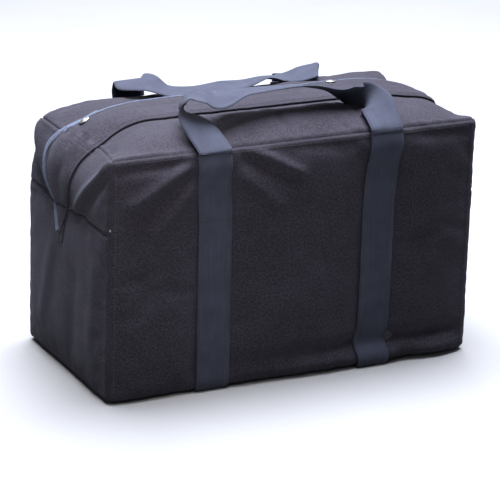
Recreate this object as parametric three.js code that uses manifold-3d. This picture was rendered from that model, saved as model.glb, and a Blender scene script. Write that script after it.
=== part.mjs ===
// Soft carry case for a telescope: a canvas box with a zipped top, a snapped storm flap over the zip, two
// webbing slings that pass under the base, and two webbing carry handles. Foam pads and a board stiffen it.
// Millimetres, +Z up, -Y is the front. The origin is under the middle of the base, on the ground.
import * as THREE from 'three';
import Module from 'manifold-3d';
import { mergeVertices } from 'three/addons/utils/BufferGeometryUtils.js';

const wasm = await Module();
wasm.setup();

// ---- Driving dimensions -------------------------------------------------------------------------------
const LENGTH = 610;                      // outside of the canvas along X
const DEPTH = 305;                       // outside of the canvas along Y
const WALL_TOP = 375;                    // top edge of the front and rear walls
const CROWN = 15;                        // rise of the top between its front and rear edges
const CANVAS = 3;                        // lined canvas
const GAP = 0.3;                         // air between sewn neighbours

const WEB_WIDTH = 54;                    // webbing of slings and handles
const WEB_THICK = 2.5;
const SLING_X = 136;                     // middle of each sling
const LID_HALF = 245;                    // half the length of the part of the top that opens
const END_SEAM_Z = 263;                  // seam across each end wall

const PAD = 10;                          // foam
const BOARD = 4;                         // base stiffener
const PAD_TOP = 366;

const ZIP_CLEAR = 12;                    // each lid stops this far from the zip's middle line
const TAPE = 1;
const TEETH_INNER = 0.6;
const TEETH_OUTER = 3;
const TEETH_HALF_HEIGHT = 1.6;
const SLIDER_LENGTH = 26;
const SLIDER_X = 15;                     // middle of each slider when the zip is shut
const SLIDER_HALF_WIDTH = 6;
const SLIDER_PLATE = 2;
const PIN_OFFSET = 5;                    // pull's pin, from the slider's middle
const PIN_RADIUS = 1;
const EAR_Y = 3.6;                       // ears that hold the pin
const KNUCKLE_RADIUS = 2.4;
const PULL_LENGTH = 34;
const PULL_NECK = 2.6;                   // half width where the pull passes between the ears
const PULL_END = 5;

const FLAP_ROOT_Y = -35;                 // sewn edge of the storm flap
const FLAP_EDGE_Y = 47;                  // its free edge
const FLAP_THICK = 3;
const FLAP_ARCH = 9;                     // it stands this much proud over the sliders
const FLAP_EDGE_LIFT = 2.6;
const FLAP_TIP_Z = 220;                  // point of the flap on each end wall
const FLAP_SHOULDER_Z = 335;

const SNAP_Y = 36;
const SNAP_XS = [-260, -50, 150];
const SNAP_RADIUS = 8;

const HANDLE_THICK = 3;
const HANDLE_HINGE_Y = DEPTH / 2 + 4;
const HANDLE_HINGE_Z = WALL_TOP + 5;
const FRONT_HANDLE = { reach: 108, lean: 34 };
const REAR_HANDLE = { reach: 102, lean: 20 };

// ---- Levels worked out from them ----------------------------------------------------------------------
const HALF_X = LENGTH / 2;
const HALF_Y = DEPTH / 2;
const FLOOR = WEB_THICK + GAP;           // underside of the canvas base
const LID_Z = WALL_TOP + GAP;            // underside of the top at its edges
const INNER_X = HALF_X - CANVAS - GAP;
const INNER_Y = HALF_Y - CANVAS - GAP;
const BOARD_Z = FLOOR + CANVAS + GAP;
const BASE_PAD_Z = BOARD_Z + BOARD + GAP;
const WALL_PAD_Z = BASE_PAD_Z + PAD + GAP;
const TAPE_Z = LID_Z + CROWN - GAP - TAPE;
const TEETH_Z = TAPE_Z + TAPE / 2;

// ---- Finishes -----------------------------------------------------------------------------------------
const finish = (color, roughness, metalness = 0) =>
  new THREE.MeshStandardMaterial({ color, roughness, metalness });
const canvas = finish('#2b2a2f', 0.85);
const webbing = finish('#4a4f5e', 0.8);
const zipTape = finish('#6d7688', 0.85);
const zipTeeth = finish('#8d9098', 0.4, 0.7);
const nickel = finish('#c9ccd2', 0.25, 1);
const foam = finish('#3c3d42', 0.95);
const board = finish('#8a7a60', 0.8);

// ---- Makers -------------------------------------------------------------------------------------------
const product = new THREE.Group();

// Adds one named piece.
function piece(name, geometry, material) {
  const mesh = new THREE.Mesh(geometry, material);
  mesh.name = name;
  product.add(mesh);
  return mesh;
}

// A block between two values on each axis.
function block([x0, x1], [y0, y1], [z0, z1]) {
  const geometry = new THREE.BoxGeometry(x1 - x0, y1 - y0, z1 - z0);
  return geometry.translate((x0 + x1) / 2, (y0 + y1) / 2, (z0 + z1) / 2);
}

// An outline given as [y, z] points, extruded along X.
function alongX(points, x0, x1) {
  const shape = new THREE.Shape(points.map(([y, z]) => new THREE.Vector2(y, z)));
  const geometry = new THREE.ExtrudeGeometry(shape, { depth: x1 - x0, bevelEnabled: false, steps: 1 });
  const turn = new THREE.Matrix4().set(0, 0, 1, x0, 1, 0, 0, 0, 0, 1, 0, 0, 0, 0, 0, 1);
  return geometry.applyMatrix4(turn);
}

// A band between y0 and y1 whose underside is at low(y) and whose top is `thick` above it, as [y, z] points.
function bandOutline(y0, y1, low, thick, steps = 10) {
  const ys = Array.from({ length: steps + 1 }, (_, i) => y0 + ((y1 - y0) * i) / steps);
  const under = ys.map((y) => [y, low(y)]);
  const over = ys.map((y) => [y, low(y) + thick]).reverse();
  return [...under, ...over];
}

// A three.js solid as a manifold one, and back.
function toManifold(geometry) {
  const bare = geometry.clone();
  bare.deleteAttribute('normal');
  bare.deleteAttribute('uv');
  const merged = mergeVertices(bare);
  const vertProperties = merged.attributes.position.array;
  const solid = { numProp: 3, vertProperties, triVerts: merged.index.array };
  return new wasm.Manifold(new wasm.Mesh(solid));
}

function fromManifold(manifold) {
  const mesh = manifold.getMesh();
  const geometry = new THREE.BufferGeometry();
  geometry.setAttribute('position', new THREE.BufferAttribute(mesh.vertProperties, 3));
  geometry.setIndex(new THREE.BufferAttribute(mesh.triVerts, 1));
  geometry.computeVertexNormals();
  return geometry;
}

function joined(...geometries) {
  const [first, ...rest] = geometries.map(toManifold);
  return fromManifold(rest.reduce((sum, next) => sum.add(next), first));
}

// ---- Shape of the top ---------------------------------------------------------------------------------
const crown = (y) => CROWN * (1 - (y / HALF_Y) ** 2);
const lidLow = (y) => LID_Z + crown(y);
const lidTop = (y) => lidLow(y) + CANVAS;

function flapLow(y) {
  const t = (y - FLAP_ROOT_Y) / (FLAP_EDGE_Y - FLAP_ROOT_Y);
  return lidTop(y) + GAP + FLAP_EDGE_LIFT * t + FLAP_ARCH * Math.sin(Math.PI * t);
}
const flapTop = (y) => flapLow(y) + FLAP_THICK;

// ---- Walls and base -----------------------------------------------------------------------------------
function walls() {
  for (const [name, side] of [['front_panel', -1], ['rear_panel', 1]]) {
    const ys = [side * HALF_Y, side * (HALF_Y - CANVAS)].sort((a, b) => a - b);
    piece(name, block([-HALF_X, HALF_X], ys, [FLOOR, WALL_TOP]), canvas);
  }
  for (const [hand, side] of [['left', -1], ['right', 1]]) {
    const xs = [side * HALF_X, side * (HALF_X - CANVAS)].sort((a, b) => a - b);
    const wallY = [-INNER_Y, INNER_Y];
    piece(`${hand}_end_lower_panel`, block(xs, wallY, [FLOOR, END_SEAM_Z]), canvas);
    const top = bandOutline(-INNER_Y, INNER_Y, (y) => lidLow(y) - GAP, 0, 16).slice(0, 17).reverse();
    const low = END_SEAM_Z + GAP;
    piece(`${hand}_end_upper_panel`, alongX([[-INNER_Y, low], [INNER_Y, low], ...top], ...xs), canvas);
  }
  piece('base_panel', block([-INNER_X, INNER_X], [-INNER_Y, INNER_Y], [FLOOR, FLOOR + CANVAS]), canvas);
}

// Fixed corners of the top, beyond the part that opens, with the zip running on between them.
function gussets() {
  for (const [hand, side] of [['left', -1], ['right', 1]]) {
    const xs = [side * HALF_X, side * (LID_HALF + GAP)].sort((a, b) => a - b);
    const frontBand = bandOutline(-HALF_Y, -ZIP_CLEAR - GAP, lidLow, CANVAS);
    piece(`${hand}_front_gusset`, alongX(frontBand, ...xs), canvas);
    piece(`${hand}_rear_gusset`, alongX(bandOutline(ZIP_CLEAR + GAP, HALF_Y, lidLow, CANVAS), ...xs), canvas);
    const zipBand = bandOutline(-ZIP_CLEAR, ZIP_CLEAR, lidLow, CANVAS - TAPE);
    piece(`${hand}_zip_corner`, alongX(zipBand, ...xs), zipTape);
  }
}

// The zip goes on down each end wall, under the point of the flap, to a sewn stop tab.
function zipEnds() {
  const tailTop = lidLow(0) - GAP - 2;
  const tailLow = FLAP_TIP_Z + 12;
  const tail = [[-8, tailLow], [8, tailLow], [14, tailTop], [-14, tailTop]];
  for (const [hand, side] of [['left', -1], ['right', 1]]) {
    const face = HALF_X + GAP;
    const tailX = [side * face, side * (face + 1.5)].sort((a, b) => a - b);
    piece(`${hand}_zip_tail`, alongX(tail, ...tailX), zipTape);
    piece(`${hand}_zip_stop_tab`, block(tailX, [-12, 12], [tailLow - 22, tailLow - GAP]), canvas);
  }
}

// ---- Slings, board and pads ---------------------------------------------------------------------------
function slings() {
  const inY = HALF_Y + GAP;
  const outY = inY + WEB_THICK;
  const top = WALL_TOP;
  const loop = [[-outY, top], [-outY, 0], [outY, 0], [outY, top], [inY, top], [inY, WEB_THICK],
    [-inY, WEB_THICK], [-inY, top]];
  for (const [name, x] of [['left_sling_strap', -SLING_X], ['right_sling_strap', SLING_X]]) {
    piece(name, alongX(loop, x - WEB_WIDTH / 2, x + WEB_WIDTH / 2), webbing);
  }
}

function lining() {
  const xs = [-INNER_X, INNER_X];
  const ys = [-INNER_Y, INNER_Y];
  piece('base_board', block(xs, ys, [BOARD_Z, BOARD_Z + BOARD]), board);
  piece('base_foam_pad', block(xs, ys, [BASE_PAD_Z, BASE_PAD_Z + PAD]), foam);
  piece('front_foam_pad', block(xs, [-INNER_Y, -INNER_Y + PAD], [WALL_PAD_Z, PAD_TOP]), foam);
  piece('rear_foam_pad', block(xs, [INNER_Y - PAD, INNER_Y], [WALL_PAD_Z, PAD_TOP]), foam);
  const between = INNER_Y - PAD - GAP;
  piece('left_foam_pad', block([-INNER_X, -INNER_X + PAD], [-between, between], [WALL_PAD_Z, PAD_TOP]), foam);
  piece('right_foam_pad', block([INNER_X - PAD, INNER_X], [-between, between], [WALL_PAD_Z, PAD_TOP]), foam);
}

// ---- The part of the top that opens -------------------------------------------------------------------
// Each lid carries its half of the zip: a tape sewn under its edge and a row of teeth on the tape.
function lids() {
  const xs = [-LID_HALF, LID_HALF];
  for (const [end, side] of [['front', -1], ['rear', 1]]) {
    const lidY = [side * HALF_Y, side * ZIP_CLEAR].sort((a, b) => a - b);
    const tapeY = [side * (ZIP_CLEAR + 8), side * (TEETH_OUTER + GAP)].sort((a, b) => a - b);
    const teethY = [side * TEETH_OUTER, side * TEETH_INNER].sort((a, b) => a - b);
    piece(`${end}_lid_panel`, alongX(bandOutline(...lidY, lidLow, CANVAS), ...xs), canvas);
    const tapeLow = (y) => lidLow(y) - GAP - TAPE;
    piece(`${end}_zip_tape`, alongX(bandOutline(...tapeY, tapeLow, TAPE, 3), ...xs), zipTape);
    const teethZ = [TEETH_Z - TEETH_HALF_HEIGHT, TEETH_Z + TEETH_HALF_HEIGHT];
    piece(`${end}_zip_teeth`, block(xs, teethY, teethZ), zipTeeth);
  }
}

// Two sliders meet in the middle. Each has a plate over both rows of teeth, a plate under the front row only,
// so that the rear row can leave it, and a thin web between the rows. Two ears on top hold the pull's pin.
function sliders() {
  const upper = TEETH_Z + TEETH_HALF_HEIGHT + GAP;
  const lower = TEETH_Z - TEETH_HALF_HEIGHT - GAP;
  const top = upper + SLIDER_PLATE;
  const web = TEETH_INNER / 2;
  const pinZ = top + KNUCKLE_RADIUS + GAP;
  for (const [hand, side] of [['left', -1], ['right', 1]]) {
    const x = side * SLIDER_X;
    const pinX = x + side * PIN_OFFSET;
    const long = [x - SLIDER_LENGTH / 2, x + SLIDER_LENGTH / 2];
    const ears = [-1, 1].map((end) =>
      block([pinX - 2, pinX + 2], [end * EAR_Y - 0.6, end * EAR_Y + 0.6], [top - 1, pinZ + 1.8]));
    const slider = joined(
      block(long, [-SLIDER_HALF_WIDTH, SLIDER_HALF_WIDTH], [upper, top]),
      block(long, [-SLIDER_HALF_WIDTH, web], [lower - SLIDER_PLATE, lower]),
      block([x - 5, x + 5], [-web, web], [lower - SLIDER_PLATE / 2, upper + SLIDER_PLATE / 2]),
      ...ears,
      new THREE.CylinderGeometry(PIN_RADIUS, PIN_RADIUS, 2 * EAR_Y, 12).translate(pinX, 0, pinZ),
    );
    piece(`${hand}_zip_slider`, slider, nickel);
    piece(`${hand}_zip_pull`, pull(side).translate(pinX, 0, pinZ), nickel);
  }
}

// A tongue lying outward from a knuckle that turns on the slider's pin, which is at the origin along Y.
function pull(side) {
  const ring = new THREE.Shape().absarc(0, 0, KNUCKLE_RADIUS, 0, 2 * Math.PI);
  ring.holes.push(new THREE.Path().absarc(0, 0, PIN_RADIUS + 0.35, 0, 2 * Math.PI, true));
  const sweep = { depth: 2 * PULL_NECK, bevelEnabled: false, curveSegments: 16 };
  const knuckle = new THREE.ExtrudeGeometry(ring, sweep);
  knuckle.rotateX(Math.PI / 2).translate(0, PULL_NECK, 0);
  const neck = block([PIN_RADIUS + 0.9, 9], [-PULL_NECK, PULL_NECK], [-0.8, 0.8]);
  const tongue = new THREE.Shape();
  tongue.moveTo(8, -PULL_NECK);
  tongue.lineTo(PULL_LENGTH - PULL_END, -PULL_END);
  tongue.absarc(PULL_LENGTH - PULL_END, 0, PULL_END, -Math.PI / 2, Math.PI / 2, false);
  tongue.lineTo(8, PULL_NECK);
  const blade = new THREE.ExtrudeGeometry(tongue, { depth: 1.6, bevelEnabled: false, curveSegments: 8 });
  const geometry = joined(knuckle, neck, blade.translate(0, 0, -0.8));
  return side < 0 ? geometry.rotateZ(Math.PI) : geometry;
}

// ---- Storm flap and snaps -----------------------------------------------------------------------------
function flap() {
  const outline = bandOutline(FLAP_ROOT_Y, FLAP_EDGE_Y, flapLow, FLAP_THICK, 14);
  piece('storm_flap', alongX(outline, -LID_HALF, LID_HALF), canvas);
  const outer = HALF_X + 5.5;
  const inner = outer - FLAP_THICK;
  const over = bandOutline(FLAP_ROOT_Y, FLAP_EDGE_Y, flapTop, 0, 14).slice(0, 15).reverse();
  const tip = [[2, FLAP_TIP_Z], [8, FLAP_TIP_Z]];
  const point = [[FLAP_ROOT_Y, FLAP_SHOULDER_Z], ...tip, [FLAP_EDGE_Y, FLAP_SHOULDER_Z]];
  for (const [hand, side] of [['left', -1], ['right', 1]]) {
    const topX = [side * (LID_HALF + GAP), side * outer].sort((a, b) => a - b);
    const endX = [side * inner, side * outer].sort((a, b) => a - b);
    piece(`${hand}_flap_end`, joined(alongX(outline, ...topX), alongX([...point, ...over], ...endX)), canvas);
  }
}

// Snaps hold the flap's free edge down: a domed cap on the flap and a stud on the canvas under it.
function snaps() {
  const slope = Math.atan((flapTop(SNAP_Y + 1) - flapTop(SNAP_Y - 1)) / 2);
  const dome = [[0, 0], [SNAP_RADIUS, 0], [SNAP_RADIUS, 0.8], [SNAP_RADIUS * 0.7, 2.2], [0, 2.8]];
  const post = [[0, 0], [5, 0], [5, 0.8], [2.6, 0.8], [2.6, 3], [0, 3]];
  const turned = (points) => new THREE.LatheGeometry(points.map(([r, h]) => new THREE.Vector2(r, h)), 24)
    .rotateX(Math.PI / 2);
  const names = ['left', 'middle', 'right'];
  SNAP_XS.forEach((x, i) => {
    const cap = piece(`snap_cap_${names[i]}`, turned(dome), nickel);
    cap.position.set(x, SNAP_Y, flapTop(SNAP_Y) + 0.5);
    cap.rotation.x = slope;
    const stud = piece(`snap_stud_${names[i]}`, turned(post), nickel);
    stud.position.set(x, SNAP_Y, lidTop(SNAP_Y) + 0.5);
  });
}

// ---- Carry handles ------------------------------------------------------------------------------------
// A U of webbing: two legs at the slings and a band across. It leans over the top from its hinge line, which
// runs along the top edge of the wall.
function handle(name, side, { reach, lean }) {
  const outX = SLING_X + WEB_WIDTH / 2;
  const inX = SLING_X - WEB_WIDTH / 2;
  const start = 0.5;
  const band = reach - WEB_WIDTH;
  const shape = new THREE.Shape([[-outX, start], [-inX, start], [-inX, band], [inX, band], [inX, start],
    [outX, start], [outX, reach - 20], [outX - 20, reach], [-outX + 20, reach], [-outX, reach - 20]]
    .map(([x, y]) => new THREE.Vector2(x, y)));
  const geometry = new THREE.ExtrudeGeometry(shape, { depth: HANDLE_THICK, bevelEnabled: false, steps: 1 });
  geometry.translate(0, 0, -HANDLE_THICK / 2);
  geometry.rotateX(THREE.MathUtils.degToRad(lean));
  if (side > 0) {
    geometry.rotateZ(Math.PI);
  }
  piece(name, geometry, webbing).position.set(0, side * HANDLE_HINGE_Y, HANDLE_HINGE_Z);
}

walls();
gussets();
zipEnds();
slings();
lining();
lids();
sliders();
flap();
snaps();
handle('front_handle', -1, FRONT_HANDLE);
handle('rear_handle', 1, REAR_HANDLE);

export default product;
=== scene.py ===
"""Looks of a soft canvas carry case for a telescope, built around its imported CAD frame.

The canvas is one closed skin. A box with soft corners is inflated as cloth between its sewn lines, folds are
pressed into it, and it is cut along its seams into panels. Webbing, flap, zip and stitching lie on it.
Metres, +Z up, -Y is the front.
"""
import math
import bpy
import numpy as np
from mathutils import Matrix, Vector, noise
from mathutils.bvhtree import BVHTree


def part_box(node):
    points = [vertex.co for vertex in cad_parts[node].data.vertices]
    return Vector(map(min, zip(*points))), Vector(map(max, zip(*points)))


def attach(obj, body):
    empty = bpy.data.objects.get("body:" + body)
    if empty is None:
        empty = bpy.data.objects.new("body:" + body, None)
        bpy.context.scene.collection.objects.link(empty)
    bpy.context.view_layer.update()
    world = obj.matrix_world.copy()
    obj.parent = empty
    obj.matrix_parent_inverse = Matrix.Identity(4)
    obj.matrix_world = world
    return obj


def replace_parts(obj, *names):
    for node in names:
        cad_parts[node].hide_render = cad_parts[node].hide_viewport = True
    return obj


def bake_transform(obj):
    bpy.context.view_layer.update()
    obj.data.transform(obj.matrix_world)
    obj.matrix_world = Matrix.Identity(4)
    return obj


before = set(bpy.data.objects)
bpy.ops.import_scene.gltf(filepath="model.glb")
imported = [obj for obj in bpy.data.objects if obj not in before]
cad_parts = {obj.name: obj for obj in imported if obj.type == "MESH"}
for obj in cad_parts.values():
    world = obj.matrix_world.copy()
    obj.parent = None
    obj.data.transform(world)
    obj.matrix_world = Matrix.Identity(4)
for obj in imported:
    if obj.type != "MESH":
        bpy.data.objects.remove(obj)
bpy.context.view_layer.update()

# ---- Sizes, from the frame --------------------
wall_low, wall_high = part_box("front_panel")
HALF_X = wall_high.x
HALF_Y = -wall_low.y
FLOOR = wall_low.z
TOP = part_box("front_lid_panel")[0].z + 0.003             # top edge of the walls, outside
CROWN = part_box("front_zip_tape")[1].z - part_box("front_lid_panel")[0].z
LID_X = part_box("front_lid_panel")[1].x
ZIP_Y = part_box("rear_lid_panel")[0].y                    # edge of each lid beside the zip
END_SEAM_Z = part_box("left_end_lower_panel")[1].z
FLAP_ROOT_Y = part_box("storm_flap")[0].y
FLAP_EDGE_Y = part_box("storm_flap")[1].y
FLAP_TIP_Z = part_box("left_flap_end")[0].z
SLING_LOW, SLING_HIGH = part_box("right_sling_strap")
SLING_X = (SLING_LOW.x + SLING_HIGH.x) / 2
WEB_WIDTH = SLING_HIGH.x - SLING_LOW.x
WEB_THICK = 0.0026
ROOT_Y = 0.1615                                          # the handles leave the slings this far out
SEWN_TOP = 0.328                                         # the slings are sewn down to this height
CANVAS = 0.0022
OPEN_X = 0.185                                           # the flap's middle and end lengths meet here
ROOT = "case_body"
HANDS = (("left", -1), ("right", 1))
ENDS = (("front", -1), ("rear", 1))


# ---- Small tools --------------------
def smooth(t):
    """0 below 0, 1 above 1, and an S between."""
    t = np.clip(t, 0.0, 1.0)
    return t * t * (3 - 2 * t)


def bell(t):
    return np.exp(-np.asarray(t, float) ** 2)


def near(a, b):
    return np.abs(a - b) < 1e-5


def spots_of(spots, lift):
    """Points lifted off a surface, and their normals, from (point, normal) pairs."""
    return [p + n * lift for p, n in spots], [n for _, n in spots]


def stations(marks, step):
    """Values from the first mark to the last, through each mark, about one step apart."""
    out = [marks[0]]
    for a, b in zip(marks, marks[1:]):
        n = max(1, round((b - a) / step))
        out += [a + (b - a) * i / n for i in range(1, n + 1)]
    return out


def link(data):
    """A new object in the scene, named as its data is."""
    obj = bpy.data.objects.new(data.name, data)
    bpy.context.scene.collection.objects.link(obj)
    return obj


def remove(obj):
    mesh = obj.data
    bpy.data.objects.remove(obj)
    bpy.data.meshes.remove(mesh)


def evaluated(obj):
    """The object's mesh with its modifiers applied, and the places of its vertices."""
    mesh = obj.evaluated_get(bpy.context.evaluated_depsgraph_get()).to_mesh()
    return mesh, read(mesh.vertices, "co", 3)


def read(items, name, width):
    """One property of every item, a row each."""
    out = np.zeros(len(items) * width)
    items.foreach_get(name, out)
    return out.reshape(-1, width)


def mesh_object(name, verts, faces, material, uvs=None, normals=None):
    """A smooth-shaded mesh. uvs is one (u, v) per vertex, in metres of cloth; normals one per vertex."""
    mesh = bpy.data.meshes.new(name)
    mesh.from_pydata([tuple(v) for v in verts], [], [tuple(f) for f in faces])
    mesh.materials.append(material)
    mesh.polygons.foreach_set("use_smooth", [True] * len(mesh.polygons))
    if uvs is not None:
        layer = mesh.uv_layers.new(name="cloth")
        loops = np.zeros(len(mesh.loops), np.int32)
        mesh.loops.foreach_get("vertex_index", loops)
        layer.data.foreach_set("uv", np.asarray(uvs, np.float32)[loops].ravel())
    mesh.validate()
    if normals is not None:
        mesh.normals_split_custom_set_from_vertices([tuple(n) for n in normals])
    return link(mesh)


def catmull(points, per_span):
    """A smooth line through points, as an array."""
    p = np.asarray(points, float)
    p = np.vstack([2 * p[0] - p[1], p, 2 * p[-1] - p[-2]])
    out = []
    for i in range(1, len(p) - 2):
        for t in np.arange(per_span) / per_span:
            a, b, c, d = p[i - 1], p[i], p[i + 1], p[i + 2]
            out.append(0.5 * (2 * b + (c - a) * t + (2 * a - 5 * b + 4 * c - d) * t ** 2
                              + (3 * b - 3 * c + d - a) * t ** 3))
    out.append(p[-2])
    return np.array(out)


def unit(v):
    v = np.asarray(v, float)
    return v / np.linalg.norm(v, axis=-1, keepdims=True)


# ---- Materials --------------------
class Nodes:
    """A material's node tree with one short call per node."""

    def __init__(self, name):
        self.material = bpy.data.materials.new(name)
        self.material.use_nodes = True
        self.tree = self.material.node_tree
        self.shader = self.tree.nodes["Principled BSDF"]

    def add(self, kind, **values):
        node = self.tree.nodes.new(kind)
        for key, value in values.items():
            if hasattr(node, key):
                setattr(node, key, value)
            else:
                node.inputs[key.replace("_", " ")].default_value = value
        return node

    def link(self, source, target):
        self.tree.links.new(source, target)

    def math(self, operation, a, b=None):
        node = self.add("ShaderNodeMath", operation=operation)
        for socket, value in zip(node.inputs, (a, b)):
            if value is None:
                continue
            if isinstance(value, (int, float)):
                socket.default_value = value
            else:
                self.link(value, socket)
        return node.outputs[0]

    def ramp(self, source, stops):
        node = self.add("ShaderNodeValToRGB")
        elements = node.color_ramp.elements
        while len(elements) < len(stops):
            elements.new(0.5)
        for element, (place, color) in zip(elements, stops):
            element.position = place
            element.color = (*color, 1)
        self.link(source, node.inputs[0])
        return node.outputs[0]

    def noise(self, vector, scale, detail=3.0, rough=0.55):
        node = self.add("ShaderNodeTexNoise")
        node.inputs["Scale"].default_value = scale
        node.inputs["Detail"].default_value = detail
        node.inputs["Roughness"].default_value = rough
        self.link(vector, node.inputs["Vector"])
        return node.outputs[0]

    def mix(self, factor, a, b, mode="MIX"):
        node = self.add("ShaderNodeMix", data_type="RGBA", blend_type=mode)
        for socket, value in ((node.inputs[0], factor), (node.inputs[6], a), (node.inputs[7], b)):
            if isinstance(value, (int, float)):
                socket.default_value = value
            elif isinstance(value, tuple):
                socket.default_value = (*value, 1)
            else:
                self.link(value, socket)
        return node.outputs[2]

    def scaled(self, vector, scale):
        node = self.add("ShaderNodeMapping")
        node.inputs["Scale"].default_value = scale
        self.link(vector, node.inputs["Vector"])
        return node.outputs[0]

    def bump(self, height, strength, distance, before=None):
        node = self.add("ShaderNodeBump")
        node.inputs["Strength"].default_value = strength
        node.inputs["Distance"].default_value = distance
        self.link(height, node.inputs["Height"])
        if before is not None:
            self.link(before, node.inputs["Normal"])
        return node.outputs[0]

    def finish(self, color, normal, **values):
        """Links the shader's colour and normal and sets its plain values."""
        self.link(color, self.shader.inputs["Base Color"])
        self.link(normal, self.shader.inputs["Normal"])
        for key, value in values.items():
            self.shader.inputs[key.replace("_", " ")].default_value = value
        return self.material

    def space(self):
        return self.add("ShaderNodeTexCoord").outputs["Object"]

    def cloth(self):
        """The cloth's own UV metres, whole and split."""
        uv = self.add("ShaderNodeUVMap", uv_map="cloth").outputs[0]
        split = self.add("ShaderNodeSeparateXYZ")
        self.link(uv, split.inputs[0])
        return uv, split.outputs[0], split.outputs[1]


def cloth_material(name, dark, light, pitch, rough, sheen, twill=False, grain=0.35):
    """Woven cloth. The weave runs in the cloth's own UV metres; the mottling and fading run in space."""
    n = Nodes(name)
    cloth, u, v = n.cloth()
    space = n.space()
    turn = 2 * math.pi / pitch
    across = n.math("SINE", n.math("MULTIPLY", u, turn))
    along_phase = n.math("MULTIPLY", v, turn)
    if twill:
        along_phase = n.math("ADD", along_phase, n.math("MULTIPLY", u, turn * 0.5))
    weave = n.math("MULTIPLY_ADD", across, n.math("SINE", along_phase))
    weave.node.inputs[2].default_value = 0.5
    slub = n.noise(cloth, 1.4 / pitch, 2.0)
    weave = n.math("ADD", n.math("MULTIPLY", weave, 0.7), n.math("MULTIPLY", slub, 0.5))
    fleck = n.noise(cloth, 300.0, 3.0, 0.7)
    mottle = n.noise(space, 26.0, 5.0, 0.62)
    fade = n.noise(space, 5.0, 3.0)
    tone = n.math("ADD", n.math("MULTIPLY", mottle, 0.55), n.math("MULTIPLY", fade, 0.45))
    tone = n.math("ADD", tone, n.math("MULTIPLY", n.math("SUBTRACT", weave, 0.6), grain))
    tone = n.math("ADD", tone, n.math("MULTIPLY", n.math("SUBTRACT", fleck, 0.5), 2.6))
    color = n.ramp(tone, [(0.28, dark), (0.72, light)])
    lint = n.ramp(n.noise(space, 900.0, 1.0), [(0.74, (0, 0, 0)), (0.80, (1, 1, 1))])
    worn = n.mix(0.10, color, n.mix(lint, color, tuple(min(1.0, 3.2 * c) for c in light)))
    crumple = n.bump(n.noise(space, 60.0, 3.0), 0.25, 0.0012)
    return n.finish(worn, n.bump(weave, 0.55, pitch * 0.22, crumple), Roughness=rough, Sheen_Weight=sheen,
                    Sheen_Roughness=0.45, Sheen_Tint=(0.75, 0.78, 1.0, 1), Specular_IOR_Level=0.12)


def webbing_material():
    """Ribbed webbing: fine weft ribs across and warp cords along, in the webbing's own UV metres."""
    n = Nodes("webbing")
    cloth, u, v = n.cloth()
    space = n.space()
    warp = n.math("SINE", n.math("MULTIPLY", u, 2 * math.pi / 0.0019))
    weft = n.math("SINE", n.math("MULTIPLY", v, 2 * math.pi / 0.0013))
    crossing = n.math("MULTIPLY", n.math("MULTIPLY", warp, weft), 0.3)
    weave = n.math("ADD", crossing, n.math("MULTIPLY", warp, 0.25))
    mottle = n.noise(space, 40.0, 5.0, 0.6)
    streak = n.noise(n.scaled(cloth, (420.0, 9.0, 1.0)), 1.0, 3.0)
    tone = n.math("ADD", n.math("MULTIPLY", mottle, 0.5), n.math("MULTIPLY", streak, 0.5))
    tone = n.math("ADD", tone, n.math("MULTIPLY", weave, 0.18))
    color = n.ramp(tone, [(0.25, (0.019, 0.0205, 0.0290)), (0.75, (0.039, 0.043, 0.062))])
    dents = n.bump(n.noise(space, 90.0, 2.0), 0.2, 0.0008)
    return n.finish(color, n.bump(weave, 0.6, 0.0005, dents), Roughness=0.88, Sheen_Weight=0.03,
                    Sheen_Roughness=0.4, Specular_IOR_Level=0.10)


def metal_material():
    """Nickel plate, a little scuffed."""
    n = Nodes("nickel")
    scuff = n.noise(n.space(), 700.0, 4.0, 0.6)
    color = n.ramp(scuff, [(0.3, (0.22, 0.22, 0.215)), (0.7, (0.38, 0.38, 0.37))])
    rough = n.math("MULTIPLY_ADD", scuff, 0.25)
    rough.node.inputs[2].default_value = 0.26
    n.link(rough, n.shader.inputs["Roughness"])
    return n.finish(color, n.bump(scuff, 0.15, 0.0001), Metallic=1.0)


def plain_material(name, dark, light, scale, rough, bump):
    """Moulded or pressed stuff: two close tones in a fine grain."""
    n = Nodes(name)
    grain = n.noise(n.space(), scale, 5.0, 0.65)
    return n.finish(n.ramp(grain, [(0.3, dark), (0.7, light)]), n.bump(grain, bump, 0.0004), Roughness=rough)


CANVAS_CLOTH = cloth_material("canvas", (0.0128, 0.0114, 0.0148), (0.0262, 0.0238, 0.0318),
                              0.0011, 0.92, 0.05)
TAPE_CLOTH = cloth_material("zip_tape", (0.034, 0.041, 0.062), (0.064, 0.077, 0.112),
                            0.0009, 0.8, 0.1, twill=True)
PAD_CLOTH = cloth_material("pad_cloth", (0.020, 0.021, 0.026), (0.036, 0.038, 0.046),
                           0.0008, 0.8, 0.35, twill=True)
WEBBING = webbing_material()
NICKEL = metal_material()
TEETH = plain_material("zip_teeth", (0.035, 0.037, 0.045), (0.075, 0.080, 0.095), 900.0, 0.38, 0.1)
THREAD = plain_material("thread", (0.014, 0.013, 0.018), (0.034, 0.032, 0.042), 1500.0, 0.75, 0.3)
TACK = plain_material("tack_thread", (0.13, 0.13, 0.13), (0.24, 0.24, 0.23), 1500.0, 0.75, 0.3)
BOARD = plain_material("hardboard", (0.16, 0.105, 0.06), (0.30, 0.21, 0.125), 240.0, 0.7, 0.4)


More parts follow.
